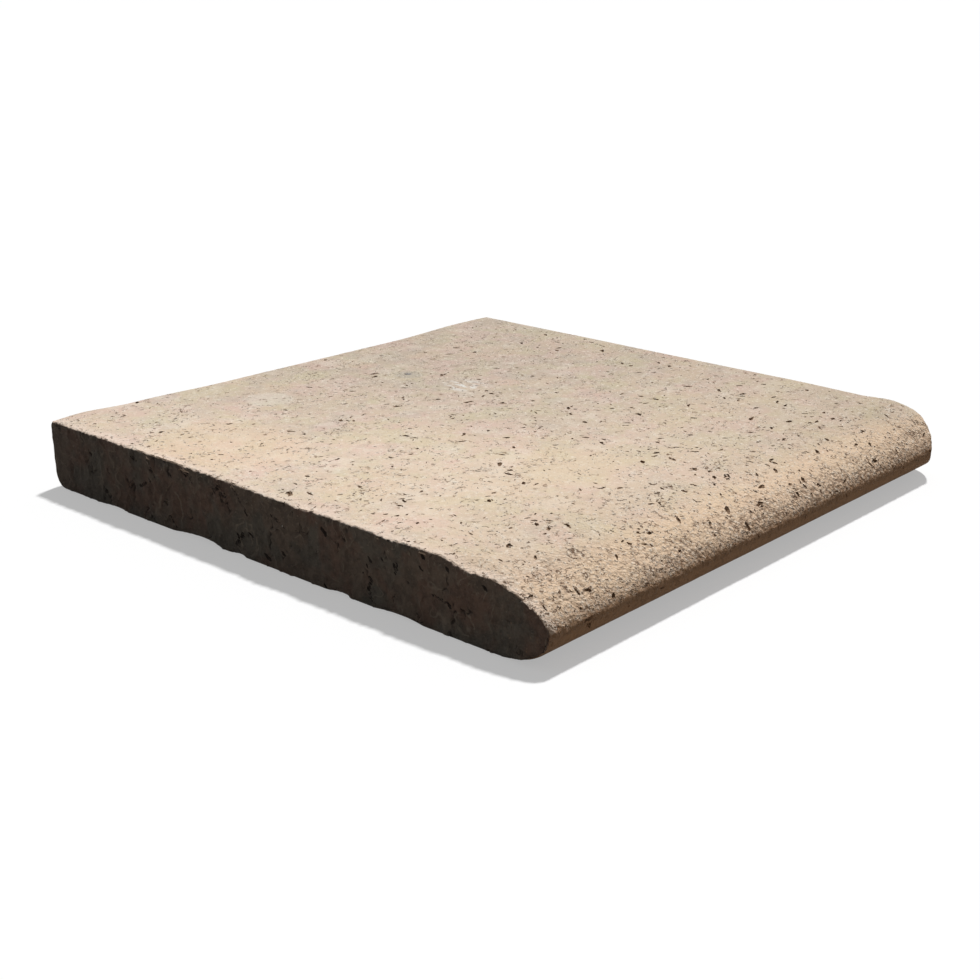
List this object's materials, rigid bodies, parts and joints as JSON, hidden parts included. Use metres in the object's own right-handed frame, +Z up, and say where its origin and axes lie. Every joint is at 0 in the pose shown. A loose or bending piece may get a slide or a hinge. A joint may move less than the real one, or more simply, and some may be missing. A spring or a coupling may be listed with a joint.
{
  "type": "pool coping stone",
  "caption": "Square sawn travertine slab with a long rounded bullnose edge and worn, lightly spalled arrises, for edging a pool or a step.",
  "frame": {"origin": "centre of the footprint on the underside that the slab is bedded on", "axes": "+Z up through the slab, +Y from the bullnose to the back joint face, +X along the bullnose"},
  "size_m": [0.305, 0.305, 0.032],
  "materials": {
    "travertine": "matt, sawn and worn, pitted"
  },
  "bodies": {
    "root": {"coping_stone": "travertine"}
  },
  "joints": []
}
